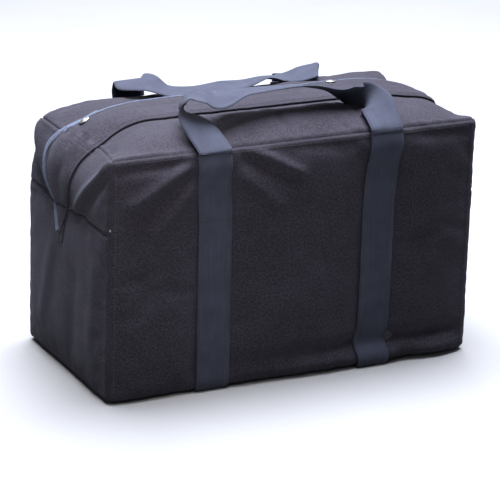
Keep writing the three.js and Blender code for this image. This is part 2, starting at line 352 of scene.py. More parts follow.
# ---- The canvas skin --------------------
MARKS_X = [-HALF_X, -LID_X, -OPEN_X, -0.163, -0.109, 0.0, 0.109, 0.163, OPEN_X, LID_X, HALF_X]
MARKS_Y = [-HALF_Y, FLAP_ROOT_Y, -ZIP_Y, ZIP_Y, FLAP_EDGE_Y, HALF_Y]
MARKS_Z = [FLOOR, END_SEAM_Z, TOP]
CELL = 0.0085
PANELS = ["front_canvas", "rear_canvas", "left_lower_canvas", "left_upper_canvas", "right_lower_canvas",
          "right_upper_canvas", "base_canvas", "top_front_left", "top_front_right", "top_rear_left",
          "top_rear_right", "zip_gap"]


def panel_of(axis, high, centre):
    """Which panel a cell of the box belongs to."""
    x, y, z = centre
    if axis == 1:
        return "rear_canvas" if high else "front_canvas"
    if axis == 0:
        return f"{'right' if high else 'left'}_{'upper' if z > END_SEAM_Z else 'lower'}_canvas"
    if not high:
        return "base_canvas"
    if abs(y) < ZIP_Y:
        return "zip_gap"
    return f"top_{'rear' if y > 0 else 'front'}_{'right' if x > 0 else 'left'}"


def box_grid():
    """The flat-sided box: points, quads, each quad's panel, and its corners' places on the flat cloth."""
    axes = [stations(MARKS_X, CELL), stations(MARKS_Y, CELL), stations(MARKS_Z, CELL)]
    index, points, quads, tags, flat = {}, [], [], [], []

    def vertex(key):
        if key not in index:
            index[key] = len(points)
            points.append([axes[a][key[a]] for a in range(3)])
        return index[key]

    for axis in range(3):
        u, v = [a for a in range(3) if a != axis]
        for high in (False, True):
            fixed = len(axes[axis]) - 1 if high else 0
            outward = high != (axis == 1)
            for i in range(len(axes[u]) - 1):
                for j in range(len(axes[v]) - 1):
                    corners = [(i, j), (i + 1, j), (i + 1, j + 1), (i, j + 1)]
                    if not outward:
                        corners.reverse()
                    keys = []
                    for a, b in corners:
                        key = [0, 0, 0]
                        key[axis], key[u], key[v] = fixed, a, b
                        keys.append(tuple(key))
                    quad = [vertex(k) for k in keys]
                    quads.append(quad)
                    centre = np.mean([points[q] for q in quad], axis=0)
                    tags.append(PANELS.index(panel_of(axis, high, centre)))
                    flat += [(points[q][u], points[q][v]) for q in quad]
    return np.array(points), quads, tags, flat


# How softly each end rolls over into the top: y, then how far along x and how far down the roll reaches.
LEFT_ROLL = [(-HALF_Y, 0.010, 0.010), (-0.110, 0.066, 0.040), (FLAP_ROOT_Y, 0.113, 0.056),
             (0.012, 0.092, 0.048), (FLAP_EDGE_Y, 0.062, 0.042), (0.100, 0.052, 0.046),
             (HALF_Y, 0.038, 0.046)]
RIGHT_ROLL = [(-HALF_Y, 0.009, 0.009), (-0.100, 0.020, 0.012), (0.0, 0.026, 0.014), (0.100, 0.022, 0.014),
              (HALF_Y, 0.010, 0.010)]


def end_roll(x, y):
    """Half-widths of the roll along x and z, at each point."""
    left, right = catmull(LEFT_ROLL, 10), catmull(RIGHT_ROLL, 10)
    return [np.where(x < 0, np.interp(y, left[:, 0], left[:, k]), np.interp(y, right[:, 0], right[:, k]))
            for k in (1, 2)]


def soft_box(points):
    """Rounds the box's edges and crowns its top."""
    half = np.array([HALF_X, HALF_Y, (TOP - FLOOR) / 2])
    middle = np.array([0, 0, (TOP + FLOOR) / 2])
    q = points - middle
    upper = q[:, 2] > 0
    along, down = (np.where(upper, reach, 0.006) for reach in end_roll(points[:, 0], points[:, 1]))
    rise = smooth((q[:, 2] - 0.05) / 0.11)
    along = 0.006 + (along - 0.006) * rise
    across = 0.007 + np.where(points[:, 1] > 0, 0.024 * smooth((-points[:, 0] - 0.21) / 0.08), 0) * rise
    radius = np.stack([along, across, down], axis=1)
    inner = half - radius
    core = np.clip(q, -inner, inner)
    d = (q - core) / radius
    size = np.maximum(np.abs(d).max(axis=1), 1e-9)
    length = np.maximum(np.linalg.norm(d, axis=1), 1e-9)
    q = core + radius * d * (size / length)[:, None]
    out = q + middle
    x, y = points[:, 0], points[:, 1]
    height = smooth((out[:, 2] - END_SEAM_Z) / (TOP - END_SEAM_Z))
    crown = CROWN * (1 - (y / HALF_Y) ** 2)
    reach = np.where(x < 0, 1 - smooth((-x - 0.19) / 0.12), 1 - smooth((x - 0.18) / 0.135))
    slump = 0.0060 * smooth((x - 0.255) / 0.05) * smooth((HALF_Y - np.abs(y)) / 0.045)
    slump += 0.0060 * bell((y - 0.062) / 0.055)
    out[:, 2] += (crown * reach - slump) * height ** 3
    return out


def sewn(points):
    """How firmly each point is held while the cloth is inflated: 1 on the box's edges and on sewn lines."""
    x, y, z = points.T
    on = [near(np.abs(x), HALF_X), near(np.abs(y), HALF_Y), near(z, FLOOR) | near(z, TOP)]
    hold = np.where(np.sum(on, axis=0) >= 2, 1.0, 0.0)
    top = near(z, TOP)
    hold = np.where(top & (near(np.abs(y), ZIP_Y) | near(y, FLAP_ROOT_Y)), 1.0, hold)
    hold = np.where(near(np.abs(x), HALF_X) & near(z, END_SEAM_Z), 0.8, hold)
    sling = near(np.abs(x), 0.109) | near(np.abs(x), 0.163)
    hold = np.where(near(np.abs(y), HALF_Y) & sling & (z < SEWN_TOP), np.maximum(hold, 0.45), hold)
    return np.where(near(z, FLOOR), 1.0, hold)


CLOTH = {"quality": 5, "mass": 0.25, "tension_stiffness": 12, "compression_stiffness": 12,
         "shear_stiffness": 4, "bending_stiffness": 0.4, "vertex_group_mass": "sewn", "pin_stiffness": 1.0,
         "use_pressure": True, "uniform_pressure_force": 3.2, "shrink_min": -0.012}
CLOTH_FRAMES = 24
CLOTH_CAP = 0.011                                        # the furthest a point may move


def inflate(points, quads, hold):
    """Blows the cloth out a little between its sewn lines, and caps how far a point may go."""
    mesh = bpy.data.meshes.new("cloth")
    mesh.from_pydata(points.tolist(), [], quads)
    obj = link(mesh)
    group = obj.vertex_groups.new(name="sewn")
    for value in np.unique(hold):
        group.add(np.nonzero(hold == value)[0].tolist(), float(value), "REPLACE")
    cloth = obj.modifiers.new("Cloth", "CLOTH")
    for key, value in CLOTH.items():
        setattr(cloth.settings, key, value)
    cloth.settings.effector_weights.gravity = 0
    cloth.collision_settings.use_collision = False
    cloth.point_cache.frame_start = 1
    cloth.point_cache.frame_end = CLOTH_FRAMES
    for step in range(1, CLOTH_FRAMES + 1):
        bpy.context.scene.frame_set(step)
    _, out = evaluated(obj)
    bpy.context.scene.frame_set(1)
    remove(obj)
    move = out - points
    far = np.linalg.norm(move, axis=1, keepdims=True)
    return points + move * (CLOTH_CAP * np.tanh(far / CLOTH_CAP) / np.maximum(far, 1e-9))


def fold(place, a, b, width, height):
    """A ridge (or, with a negative height, a valley) along the line a to b, fading at both ends."""
    a, b = np.array(a), np.array(b)
    line = b - a
    length = np.linalg.norm(line)
    rel = place - a
    t = rel @ line / length ** 2
    off = (rel[:, 0] * line[1] - rel[:, 1] * line[0]) / length
    ends = smooth(t / 0.22) * smooth((1 - t) / 0.22)
    return height * bell(off / width) * ends


def folds(place, lines, deep=1.0):
    """The heights of several folds, added up. Each is its two ends, its width and its height."""
    return sum(fold(place, a, b, width, height * deep) for a, b, width, height in lines)


def field(place, scale, seed, stretch=(1.0, 1.0)):
    """A smooth seeded random field over a panel, about -1 to 1."""
    shift = Vector((seed * 7.31, seed * 3.17, seed * 1.93))
    spots = (Vector((u * stretch[0] / scale, v * stretch[1] / scale, 0)) + shift for u, v in place)
    return np.array([noise.fractal(spot, 0.9, 2.1, 3) for spot in spots])


# Folds of the walls in x and z, of the ends in y and the way up, and of the top in x and y.
WALL_FOLDS = (
    ((-0.165, 0.368), (-0.290, 0.296), 0.009, 0.0075), ((-0.160, 0.350), (-0.270, 0.268), 0.011, -0.0060),
    ((-0.165, 0.335), (-0.245, 0.245), 0.011, 0.0050), ((-0.325, 0.356), (-0.150, 0.362), 0.008, -0.0050),
    ((-0.105, 0.382), (0.020, 0.318), 0.008, 0.0060), ((-0.105, 0.362), (0.000, 0.306), 0.009, -0.0050),
    ((-0.105, 0.340), (-0.020, 0.270), 0.010, 0.0040), ((-0.020, 0.372), (0.110, 0.352), 0.012, -0.0020),
    ((0.160, 0.362), (0.320, 0.356), 0.009, -0.0025), ((0.165, 0.090), (0.270, 0.210), 0.016, 0.0020),
    ((-0.300, 0.100), (-0.190, 0.160), 0.016, 0.0018),
)
END_CORNER_FOLDS = (
    ((-0.172, 0.398), (-0.020, 0.248), 0.010, 0.0075), ((-0.160, 0.362), (-0.022, 0.240), 0.011, -0.0070),
    ((0.165, 0.392), (0.050, 0.262), 0.012, 0.0050), ((0.160, 0.345), (0.060, 0.250), 0.012, -0.0040),
)
END_WALL_FOLDS = (
    ((-0.12, 0.235), (-0.10, 0.06), 0.014, 0.0025), ((0.03, 0.22), (0.09, 0.03), 0.016, 0.0030),
    ((-0.05, 0.20), (-0.03, 0.02), 0.018, -0.0025),
)
TOP_FOLDS = (
    ((-0.300, 0.125), (-0.12, 0.118), 0.012, -0.0035), ((0.160, 0.120), (0.31, 0.110), 0.010, -0.0035),
    ((-0.315, -0.145), (-0.20, -0.060), 0.014, 0.0035), ((0.315, -0.140), (0.22, -0.060), 0.014, 0.0030),
)


def press(points, normals, box):
    """Folds and creases in the canvas: heights along each point's normal, by side of the box."""
    x, y, z = box.T
    out = np.zeros(len(points))
    # Front and rear walls, in x and z.
    for side, seed in ((-1, 1), (1, 2)):
        on = near(y, side * HALF_Y)
        p = np.stack([x[on] * -side, z[on]], axis=1)
        edge = smooth((HALF_X - np.abs(p[:, 0])) / 0.03) * smooth((p[:, 1] - FLOOR) / 0.02)
        edge = edge * smooth((TOP - p[:, 1]) / 0.02)
        h = 0.0022 * field(p, 0.16, seed) + 0.0010 * field(p, 0.05, seed + 10, (1, 0.6))
        h += folds(p, WALL_FOLDS)
        strong = smooth((p[:, 0] + 0.14) / 0.30)
        rough = 1 + 0.35 * field(p, 0.035, seed + 20, (1, 0.3))
        foot_roll = 0.0090 * bell((p[:, 1] - 0.018) / 0.011) - 0.0080 * bell((p[:, 1] - 0.043) / 0.011)
        h += foot_roll * strong * rough
        h += 0.0025 * bell((p[:, 1] - 0.016) / 0.012) * (1 - strong)
        out[on] += h * np.where(p[:, 1] < 0.07, smooth((HALF_X - np.abs(p[:, 0])) / 0.035), edge)
    # Ends, in y and in the way up the wall and on over the top.
    for side, seed in ((-1, 3), (1, 4)):
        over_top = near(z, TOP) & (side * x > HALF_X - 0.12) & (np.abs(y) < HALF_Y - 1e-4)
        on = near(x, side * HALF_X) | over_top
        p = np.stack([y[on], z[on] + HALF_X - np.abs(x[on])], axis=1)
        edge = smooth((HALF_Y - np.abs(p[:, 0])) / 0.02) * smooth((p[:, 1] - FLOOR) / 0.02)
        edge = edge * smooth((TOP + 0.11 - p[:, 1]) / 0.07)
        h = 0.0016 * field(p, 0.13, seed) + 0.0006 * field(p, 0.04, seed + 10)
        h += folds(p, END_CORNER_FOLDS, 1.0 if side < 0 else 0.6) + folds(p, END_WALL_FOLDS)
        out[on] += h * edge
    # Top, in x and y.
    on = near(z, TOP)
    p = np.stack([x[on], y[on]], axis=1)
    edge = smooth((HALF_Y - np.abs(p[:, 1])) / 0.012) * smooth((HALF_X - np.abs(p[:, 0])) / 0.02)
    between = smooth((0.125 - np.abs(p[:, 0])) / 0.02)
    h = 0.0018 * field(p, 0.14, 5) + 0.0008 * field(p, 0.05, 15)
    puff = np.where(p[:, 1] < -0.085, bell((p[:, 1] + 0.085) / 0.045), bell((p[:, 1] + 0.085) / 0.030))
    h += 0.0085 * between * puff
    h += folds(p, TOP_FOLDS)
    away = smooth((np.abs(p[:, 1]) - ZIP_Y) / 0.01)
    out[on] += h * edge * away
    return points + normals * out[:, None]


def sink_seams(points, normals, box):
    """Pulls each sewn line in and lets the cloth beside it stand up in a low ridge."""
    x, y, z = box.T
    gaps = np.stack([HALF_X - np.abs(x), HALF_Y - np.abs(y), TOP - z, z - FLOOR], axis=1)
    gaps.sort(axis=1)
    d = gaps[:, 1]
    on_end = near(np.abs(x), HALF_X)
    beside_edge = 0.004 * smooth((np.abs(y) - HALF_Y + 0.010) / 0.010)
    d = np.minimum(d, np.where(on_end, np.abs(z - END_SEAM_Z) + beside_edge, 1.0))
    h = -0.0014 * bell(d / 0.0028) + 0.0013 * bell((d - 0.0060) / 0.0035)
    pucker = 0.00022 * np.sin((x + 0.7 * y + 1.3 * z) * 2 * math.pi / 0.023) * bell((d - 0.010) / 0.008)
    return points + normals * (h + pucker)[:, None]


def vertex_normals(points, quads):
    q = np.array(quads)
    a, b, c, d = (points[q[:, i]] for i in range(4))
    face = np.cross(c - a, d - b)
    out = np.zeros_like(points)
    for i in range(4):
        np.add.at(out, q[:, i], face)
    return unit(out)


def divide(points, quads, tags, flat, box):
    """One Catmull-Clark step over the whole skin. Returns points, quads, tags, flat places and box places."""
    mesh = bpy.data.meshes.new("skin")
    mesh.from_pydata(points.tolist(), [], quads)
    for _ in PANELS:
        mesh.materials.append(CANVAS_CLOTH)
    mesh.polygons.foreach_set("material_index", tags)
    layer = mesh.uv_layers.new(name="cloth")
    layer.data.foreach_set("uv", np.array(flat, np.float32).ravel())
    place = mesh.attributes.new("box", "FLOAT_VECTOR", "POINT")
    place.data.foreach_set("vector", box.astype(np.float32).ravel())
    obj = link(mesh)
    sub = obj.modifiers.new("Sub", "SUBSURF")
    sub.levels = 1
    sub.render_levels = 1
    sub.uv_smooth = "NONE"
    fine, co = evaluated(obj)
    new_quads = [list(p.vertices) for p in fine.polygons]
    new_tags = [p.material_index for p in fine.polygons]
    uv = read(fine.uv_layers["cloth"].data, "uv", 2)
    where = read(fine.attributes["box"].data, "vector", 3)
    remove(obj)
    return co, new_quads, new_tags, uv, where


def make_skin():
    box, quads, tags, flat = box_grid()
    points = soft_box(box)
    points = inflate(points, quads, sewn(box))
    sag = bell(box[:, 0] / 0.13) * smooth((box[:, 1] - 0.05) / 0.10) * smooth((box[:, 2] - 0.30) / 0.07)
    points[:, 2] -= 0.009 * sag
    points, quads, tags, flat, box = divide(points, quads, tags, flat, box)
    normals = vertex_normals(points, quads)
    points = press(points, normals, box)
    points = sink_seams(points, vertex_normals(points, quads), box)
    points[:, 2] = np.maximum(points[:, 2], FLOOR * 0.7)
    return points, quads, np.array(tags), flat, box


skin_points, skin_quads, skin_tags, skin_flat, skin_box = make_skin()
skin_normals = vertex_normals(skin_points, skin_quads)
skin_tree = BVHTree.FromPolygons(skin_points.tolist(), skin_quads)


def on_skin(origin, direction):
    """Where a ray meets the skin, and the skin's normal there."""
    hit, normal, _, _ = skin_tree.ray_cast(Vector(origin), Vector(direction).normalized())
    if normal.dot(Vector(direction)) > 0:
        normal = -normal
    return np.array(hit), np.array(normal)


def cut_panel(name):
    """A panel cut from the skin, with the canvas's thickness.

    Where the cut isn't a seam, its normals stay the whole skin's, so that no line shows there.
    """
    chosen = np.nonzero(skin_tags == PANELS.index(name))[0]
    quads = np.array([skin_quads[i] for i in chosen])
    used, local = np.unique(quads, return_inverse=True)
    local = local.reshape(quads.shape)
    outer = skin_points[used]
    normals = skin_normals[used]
    own = vertex_normals(outer, local)
    x, y, z = skin_box[used].T
    seam = near(np.abs(x), HALF_X) | near(np.abs(y), HALF_Y) | near(z, END_SEAM_Z)
    seam &= name.startswith("top") | ~((np.abs(x) < 1e-5) & (z > TOP - 1e-5))
    shading = np.where(seam[:, None], own, normals)
    count = len(used)
    inner = outer - normals * CANVAS
    edges = {}
    for quad in local.tolist():
        for i in range(4):
            a, b = quad[i], quad[(i + 1) % 4]
            edges[(a, b)] = edges.get((a, b), 0) + 1
    rim = [(a, b) for (a, b) in edges if (b, a) not in edges]
    faces = local.tolist() + [[v + count for v in quad[::-1]] for quad in local.tolist()]
    faces += [[b, a, a + count, b + count] for a, b in rim]
    places = np.zeros((count, 2))
    for row, quad in zip(chosen, local):
        for k, v in enumerate(quad):
            places[v] = skin_flat[4 * row + k]
    uvs = np.vstack([places, places])
    verts, shading = np.vstack([outer, inner]), np.vstack([shading, -shading])
    return mesh_object(name, verts, faces, CANVAS_CLOTH, uvs, shading)


def mouth(obj):
    """Bakes the piece's placement into its mesh."""
    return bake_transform(obj)


def canvas():
    for wall in ("front", "rear", "base"):
        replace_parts(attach(cut_panel(f"{wall}_canvas"), ROOT), f"{wall}_panel")
    for hand in ("left", "right"):
        for part in ("lower", "upper"):
            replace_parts(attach(cut_panel(f"{hand}_{part}_canvas"), ROOT), f"{hand}_end_{part}_panel")
    for hand, x_side in HANDS:
        for end in ("front", "rear"):
            obj = mouth(cut_panel(f"top_{end}_{hand}"))
            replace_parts(obj, f"{hand}_{end}_gusset", f"{end}_lid_panel")


canvas()


# ---- Ribbons: webbing, tape and flap edges --------------------
def ribbon(name, centres, across, width, thick, material, columns=10, crown=0.0):
    """Webbing swept along centres. across is the width's direction at each, and thick its thickness."""
    centres = np.asarray(centres, float)
    travel = unit(np.gradient(centres, axis=0))
    across = np.asarray(across, float)
    across = unit(across - travel * np.sum(across * travel, axis=1, keepdims=True))
    up = np.cross(across, travel)
    length = distances(centres)
    us = np.linspace(-1, 1, columns + 1)
    edge = 0.5 * thick * np.sqrt(np.clip(1 - (np.clip(np.abs(us) - 0.94, 0, 1) / 0.06) ** 2, 0.15, 1))
    selvedge = 1 + 0.08 * bell((np.abs(us) - 0.90) / 0.05)
    verts, uvs, faces = [], [], []
    ring = 2 * (columns + 1)
    for c, a, n, l in zip(centres, across, up, length):
        for sign in (1, -1):
            for u, e, s in zip(us * sign, edge, selvedge):
                verts.append(c + a * u * width / 2 + n * (sign * e * s + crown * (1 - u * u)))
                uvs.append((u * width / 2, l))
    for i in range(len(centres) - 1):
        for k in range(ring):
            m = (k + 1) % ring
            faces.append((i * ring + k, i * ring + m, (i + 1) * ring + m, (i + 1) * ring + k))
    for first, step in ((0, -1), ((len(centres) - 1) * ring, 1)):
        cap = len(verts)
        verts += verts[first:first + ring]
        uvs += uvs[first:first + ring]
        faces.append(tuple(range(cap, cap + ring))[::step])
    return mesh_object(name, verts, faces, material, uvs)


def row_at(rows, steps, s):
    """The row at distance s, between rows that lie at the distances in steps."""
    return np.array([np.interp(s, steps, rows[:, k]) for k in range(3)])


def distances(points):
    """Distance along a line at each of its points."""
    return np.concatenate([[0], np.cumsum(np.linalg.norm(np.diff(points, axis=0), axis=1))])


def stitches(name, runs, material=THREAD, length=0.0034, gap=0.0016, radius=0.00045):
    """Rows of thread dashes. Each run is (points, normals) along a line that lies on a surface."""
    verts, faces = [], []
    for points, normals in runs:
        points, normals = np.asarray(points, float), np.asarray(normals, float)
        steps = distances(points)
        at = 0.0
        while at + length < steps[-1]:
            ends = [row_at(points, steps, s) for s in (at, at + length)]
            normal = unit(row_at(normals, steps, at + length / 2))
            way = unit(ends[1] - ends[0])
            side = unit(np.cross(way, normal))
            base = len(verts)
            verts.append(ends[0] - normal * radius * 0.6)
            for share, size in ((0.22, 0.85), (0.5, 1.0), (0.78, 0.85)):
                spot = ends[0] * (1 - share) + ends[1] * share
                for turn in range(5):
                    angle = 2 * math.pi * turn / 5
                    out = side * math.cos(angle) + normal * (math.sin(angle) + 0.35)
                    verts.append(spot + radius * size * out)
            verts.append(ends[1] - normal * radius * 0.6)
            tail = base + 16
            for turn in range(5):
                nxt = (turn + 1) % 5
                faces.append((base, base + 1 + nxt, base + 1 + turn))
                for ring in (base + 1, base + 6):
                    faces.append((ring + turn, ring + nxt, ring + 5 + nxt, ring + 5 + turn))
                faces.append((tail, base + 11 + turn, base + 11 + nxt))
            at += length + gap
    return mesh_object(name, verts, faces, material)


def wall_line(x, side, low, high, lift):
    """Points and normals up the front or rear wall, lifted off it."""
    spots = [on_skin((x, side * 0.6, z), (0, -side, 0)) for z in np.linspace(low, high, 90)]
    points, normals = spots_of(spots, lift)
    return np.array(points), np.array(normals)


def settle(values, passes=6):
    """Evens out a line of values, as stiff webbing does over small dents."""
    values = np.array(values, float)
    for _ in range(passes):
        values[1:-1] = (values[:-2] + 2 * values[1:-1] + values[2:]) / 4
    return values


def slings():
    """Each sling goes up the front, under the base and up the rear, and lies on the canvas."""
    low = 0.012
    for hand, x_side in HANDS:
        x = x_side * SLING_X
        runs = {}
        for side in (-1, 1):
            lines = [wall_line(x + dx, side, 0.020, TOP - 0.0065, 0.0)[0]
                     for dx in (-0.022, -0.011, 0, 0.011, 0.022)]
            out = np.max([side * line[:, 1] for line in lines], axis=0)
            z = lines[0][:, 2]
            out = settle(out) + WEB_THICK * 0.62
            root = np.interp(z, [0.345, 0.358, 0.372], [ROOT_Y + 0.0028, ROOT_Y + 0.0030, ROOT_Y])
            out = out + (root - out) * smooth((z - SEWN_TOP) / 0.025)
            kink = -0.004 * bell((z - 0.040) / 0.014) if x_side > 0 and side < 0 else 0 * z
            splay = x_side * (0.007 if side < 0 else 0.002) * smooth((z - 0.25) / 0.12)
            runs[side] = np.stack([np.full(len(z), x) + kink + splay, side * out, z], axis=1)
        foot = []
        for side in (-1, 1):
            y = abs(runs[side][0][1])
            turn = [(y - low + low * math.cos(t), 0.0013 + low - low * math.sin(t))
                    for t in np.linspace(0.35, 1.57, 7)]
            foot.append([(x, side * a, b) for a, b in turn])
        flat = [(x, y, 0.0013) for y in np.linspace(-HALF_Y + 0.03, HALF_Y - 0.03, 24)]
        line = np.vstack([runs[-1][::-1], foot[0], flat, foot[1][::-1], runs[1]])
        line = settle(line, 2)
        across = np.tile([1.0, 0, 0], (len(line), 1))
        strap = ribbon(f"{hand}_sling", line, across, WEB_WIDTH, WEB_THICK, WEBBING, 10)
        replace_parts(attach(strap, ROOT), f"{hand}_sling_strap")
        sling_stitches(hand, x, runs)


def sling_stitches(hand, x, runs):
    """Rows along both edges up to the box, then a box with a cross at the top of the sewn part."""
    lines = []
    top, box_low, inset = SEWN_TOP, SEWN_TOP - 0.056, WEB_WIDTH / 2 - 0.0045
    for side, run in runs.items():
        def surface(dx, z):
            return np.array([x + dx, np.interp(z, run[:, 2], run[:, 1]) + side * WEB_THICK * 0.52, z])

        def row(a, b, count=40):
            points = [surface(a[0] + (b[0] - a[0]) * t, a[1] + (b[1] - a[1]) * t)
                      for t in np.linspace(0, 1, count)]
            lines.append((points, [np.array([0.0, side, 0.0])] * count))

        for edge in (-inset, inset):
            row((edge, 0.030), (edge, top), 120)
        for z in (top, box_low):
            row((-inset, z), (inset, z))
        row((-inset, box_low), (inset, top))
        row((-inset, top), (inset, box_low))
    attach(stitches(f"{hand}_sling_stitching", lines), ROOT)


slings()


# ---- Handles --------------------
# Each handle's route from its left root to its right: x, y, z of the webbing's middle in mm,
# then how far its width is turned in plan from -X towards -Y, and how far it is tilted up, in degrees.
FRONT_HANDLE = (
    (-143, -161, 372, 0, 0), (-143, -161, 378, 0, 0),                                # on the left sling
    (-150, -130, 399, 15, -5), (-160, -107, 415, 35, 5), (-165, -95, 427, 75, 15),   # leans in and twists
    (-157, -93, 440, 65, 5), (-135, -97, 441, 60, -5), (-110, -98, 435, 60, -10),    # folds over
    (-65, -87, 438, 60, 5), (-10, -76, 436, 90, 10), (45, -80, 435, 90, 15),         # crosses the bag
    (90, -82, 425, 90, 15), (115, -84, 418, 95, 35), (135, -90, 410, 105, 50),       # twists on
    (146, -112, 409, 170, 25), (146, -130, 400, 175, 10), (143, -155, 385, 180, 0),  # goes down
    (143, -161, 378, 180, 0), (143, -161, 372, 180, 0),                              # on the right sling
)
REAR_HANDLE = (
    (-138, 157, 372, 0, 0), (-139, 158, 388, 0, 0), (-139, 148, 403, 0, 0),          # stands up
    (-150, 112, 409, 35, -10), (-135, 95, 412, 60, -15), (-108, 73, 402, 80, -5),    # falls forward
    (-60, 68, 399, 90, 0), (0, 77, 400, 90, 0), (60, 108, 396, 85, 15),              # lies across
    (105, 122, 389, 65, 5), (135, 112, 395, 65, -10), (160, 102, 402, 60, -10),      # runs out in a loop
    (160, 103, 398, 60, -10), (143, 117, 393, 50, -5), (143, 138, 387, 20, -5),      # and turns back
    (139, 157, 384, 0, 0), (138, 157, 372, 0, 0),
)
HANDLE_SPLINE = 12                                       # points along each span of a route


def handles():
    """Each handle as webbing swept along its route and baked in place."""
    for end, y_side, route in (("front", -1, FRONT_HANDLE), ("rear", 1, REAR_HANDLE)):
        name = f"{end}_handle"
        route = catmull(route, HANDLE_SPLINE)
        turn, tilt = np.radians(route[:, 3]), np.radians(route[:, 4])
        across = np.stack([-np.cos(turn) * np.cos(tilt), -np.sin(turn) * np.cos(tilt), np.sin(tilt)], axis=1)
        grip = ribbon(f"{name}_webbing", route[:, :3] * 0.001, across, WEB_WIDTH, WEB_THICK, WEBBING, 12)
        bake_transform(grip)
        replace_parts(grip, name)


handles()


# ---- Storm flap --------------------
CORNER_X = 0.245                                         # where the flap starts to turn down
CORNER_Z = 0.318                                         # where the turn ends on the end wall
CORNER_ARC = 0.090                                       # length of flap that the turn takes
FLAP_END = CORNER_X + CORNER_ARC + CORNER_Z - FLAP_TIP_Z
FLAP_WIDTH = 0.082
FLAP_THICK = 0.0028

# Down an end wall: height, then y of the flap's sewn root, of its free edge, and of the zip's tape beyond it.
FLAP_LINES = catmull((
    (0.220, 0.003, 0.006, 0.006), (0.250, -0.006, 0.016, 0.026), (0.280, -0.016, 0.036, 0.050),
    (0.310, -0.024, 0.053, 0.068), (0.340, -0.031, 0.058, 0.071), (0.366, FLAP_ROOT_Y, 0.050, 0.057),
    (0.378, FLAP_ROOT_Y, FLAP_EDGE_Y, 0.050)), 6)


def flap_line(z, column):
    """y of one of the flap's lines (1 root, 2 free edge, 3 zip tape) at a height."""
    return float(np.interp(z, FLAP_LINES[:, 0], FLAP_LINES[:, column]))


def flap_ray(s, y_of):
    """The skin at s along the flap: from the middle of the top over a corner and down a wall."""
    side = -1 if s < 0 else 1
    s = abs(s)
    if s < CORNER_X:
        return on_skin((side * s, y_of(TOP), 0.6), (0, 0, -1))
    if s < CORNER_X + CORNER_ARC:
        angle = (s - CORNER_X) / CORNER_ARC * math.pi / 2
        y = y_of(CORNER_Z + (TOP - CORNER_Z) * math.cos(angle))
        way = np.array([side * math.sin(angle), 0, math.cos(angle)])
        start = np.array([side * CORNER_X, y, CORNER_Z]) + 0.3 * way
        return on_skin(start, -way)
    z = CORNER_Z - (s - CORNER_X - CORNER_ARC)
    return on_skin((side * 0.6, y_of(z), z), (-side, 0, 0))


def flap_point(s, t, lift):
    """A point at share t across the flap, lifted off the skin, and the normal there."""
    p, n = flap_ray(s, lambda z: flap_line(z, 1) * (1 - t) + flap_line(z, 2) * t)
    return p + n * lift, n


def flap_lift(s, t):
    """The flap lies close at its root, stands over the zip, and comes down to its free edge."""
    tip = smooth((FLAP_END - abs(s)) / 0.05)
    on_wall = smooth((abs(s) - CORNER_X - 0.02) / 0.06)
    arch = (0.0050 * (1 - on_wall) + 0.0035 * on_wall) * math.sin(math.pi * min(1, t * 1.02))
    free = (0.0020 + 0.0022 * on_wall) * smooth((t - 0.25) / 0.75)
    return 0.0010 + (arch + free) * tip


def flap_strip(name, s_low, s_high, step):
    """Part of the flap as a folded double layer with a hem along its free edge."""
    along = stations([s_low, s_high], step)
    ts = [0, 0.012, 0.03, 0.055, 0.09] + list(np.linspace(0.14, 0.86, 15)) + [0.91, 0.945, 0.97, 0.988, 1.0]
    count = len(ts)
    top, low, uvs = [], [], []
    for s in along:
        for t in ts:
            p, n = flap_point(s, t, 0.0)
            lift = flap_lift(s, t)
            rise = FLAP_THICK - 0.0011 * bell((t - 0.055) / 0.018) - 0.0009 * bell((t - 0.945) / 0.020)
            low.append(p + n * lift)
            top.append(p + n * (lift + rise))
            uvs.append((s, t * FLAP_WIDTH))
    size = len(top)
    faces = []
    for i in range(len(along) - 1):
        for k in range(count - 1):
            a, b, c, d = i * count + k, (i + 1) * count + k, (i + 1) * count + k + 1, i * count + k + 1
            faces.append((a, b, c, d))
            faces.append((a + size, d + size, c + size, b + size))
        for k in (0, count - 1):
            a, b = i * count + k, (i + 1) * count + k
            quad = (a, a + size, b + size, b)
            faces.append(quad if k == 0 else quad[::-1])
    verts, uvs = top + low, uvs + uvs
    for row in (0, (len(along) - 1) * count):
        rim = [row + k for k in range(count)] + [row + k + size for k in range(count - 1, -1, -1)]
        cap = tuple(range(len(verts), len(verts) + len(rim)))
        verts += [verts[k] for k in rim]
        uvs += [uvs[k] for k in rim]
        faces.append(cap if row == 0 else cap[::-1])
    return mesh_object(name, verts, faces, CANVAS_CLOTH, uvs)


def flap():
    """The flap in four lengths: a middle and an end on each side, each with its rows of stitches."""
    for hand, side in HANDS:
        end = sorted((side * OPEN_X, side * FLAP_END))
        middle = sorted((0.0, side * OPEN_X))
        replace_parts(mouth(flap_strip(f"flap_{hand}_end", *end, 0.006)), f"{hand}_flap_end")
        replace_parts(flap_turn(flap_strip(f"flap_{hand}_middle", *middle, 0.007)), "storm_flap")
        for part, (low, high) in (("end", end), ("middle", middle)):
            runs = []
            for t in (0.040, 0.095, 0.935):
                spots = [flap_point(s, t, flap_lift(s, t) + FLAP_THICK) for s in np.linspace(low, high, 160)]
                runs.append(spots_of(spots, 0.0))
            flap_part(stitches(f"flap_{hand}_{part}_stitching", runs), part)


def flap_turn(obj):
    """Bakes the placement of a piece of the flap's middle into its mesh."""
    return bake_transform(obj)


def flap_part(obj, part):
    """Bakes the placement of a piece of the flap's end or of its middle into its mesh."""
    return mouth(obj) if part == "end" else flap_turn(obj)


flap()


# ---- Zip --------------------
TOOTH = 0.0026


